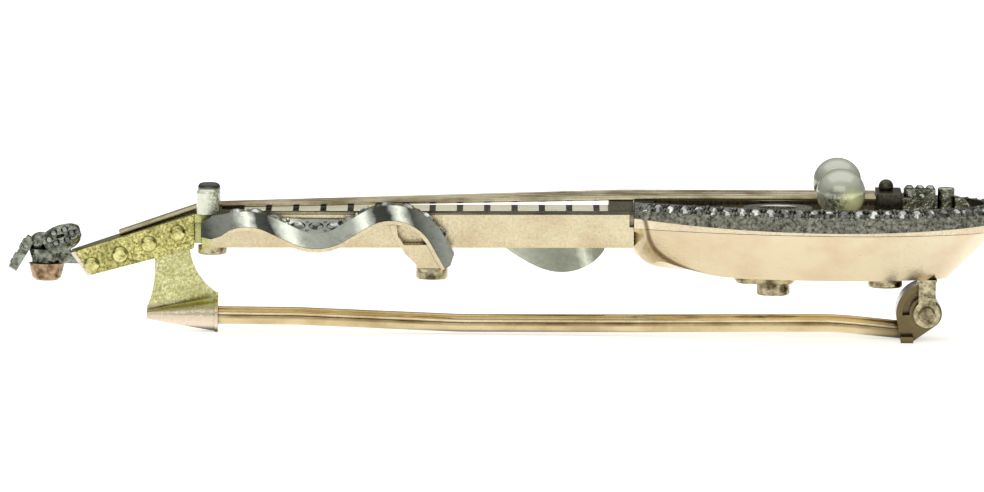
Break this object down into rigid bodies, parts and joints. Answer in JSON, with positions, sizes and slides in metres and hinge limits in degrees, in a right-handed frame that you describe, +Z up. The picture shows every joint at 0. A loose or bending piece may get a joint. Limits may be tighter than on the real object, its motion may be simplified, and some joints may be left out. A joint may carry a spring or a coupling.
{
  "type": "enamel brooch",
  "caption": "Gold, silver and enamel brooch in the form of a mandolin with stone-set rim, pearls, wire strings, a set ribbon round the neck and a hinged pin with a rolled catch.",
  "frame": {"origin": "on the ground, under the middle of the whole length and width, with the brooch lying face up on its pin fastening", "axes": "+X along the mandolin from the finial to the round end of the bowl; +Z up, out of the front; -Y is the side with the waved ribbon"},
  "size_m": [0.0552, 0.0124, 0.0098],
  "materials": {
    "rose_gold": "polished, softly worn",
    "green_gold": "matted, worn",
    "silver": "grey, tarnished silver",
    "dark_silver": "blackened silver",
    "string_wire": "drawn wire",
    "pale_enamel": "glossy cream enamel",
    "brown_enamel": "glossy olive-brown enamel",
    "pearl": "pearl lustre",
    "diamond": "cut stones, dull with age"
  },
  "bodies": {
    "brooch": {"bowl": "rose_gold", "front_plate": "rose_gold", "bowl_nut": "rose_gold", "bowl_stud": "rose_gold", "finial_nut": "rose_gold", "neck": "rose_gold", "ribbon_backing": "rose_gold", "hinge_ears": "rose_gold", "hinge_rivet": "rose_gold", "peg_box": "green_gold", "catch": "green_gold", "nut_post_near": "green_gold", "nut_post_far": "green_gold", "ribbon_stud": "green_gold", "neck_nut": "green_gold", "peg_1": "green_gold", "peg_2": "green_gold", "peg_3": "green_gold", "peg_4": "green_gold", "rim": "silver", "fingerboard": "silver", "ribbon_wave": "silver", "ribbon_loop": "silver", "finial": "silver", "rosette": "silver", "pearl_cup_near": "silver", "pearl_cup_far": "silver", "tail_post": "silver", "tail_leaf": "silver", "saddle": "dark_silver", "bridge": "dark_silver", "bridge_bead": "dark_silver", "tailpiece": "dark_silver", "string_1": "string_wire", "string_2": "string_wire", "string_3": "string_wire", "string_4": "string_wire", "fret_panel_01": "pale_enamel", "fret_panel_02": "pale_enamel", "fret_panel_03": "pale_enamel", "fret_panel_04": "pale_enamel", "fret_panel_05": "pale_enamel", "fret_panel_06": "pale_enamel", "fret_panel_07": "pale_enamel", "fret_panel_08": "pale_enamel", "fret_panel_09": "pale_enamel", "fret_panel_10": "pale_enamel", "fret_panel_11": "pale_enamel", "fret_panel_12": "pale_enamel", "fret_panel_13": "pale_enamel", "fret_panel_end": "pale_enamel", "soundboard": "brown_enamel", "pearl_near": "pearl", "pearl_far": "pearl", "rim_stones": "diamond", "ribbon_stones": "diamond", "finial_stones": "diamond", "tailpiece_stones": "diamond"},
    "pin": {"pin_stem": "rose_gold"}
  },
  "joints": [
    {"name": "pin_hinge", "type": "hinge", "parent": "brooch", "child": "pin", "pos_m": [0.02341, 0, 0.00156], "axis": [0, -1, 0], "range_deg": [0, 100]}
  ]
}
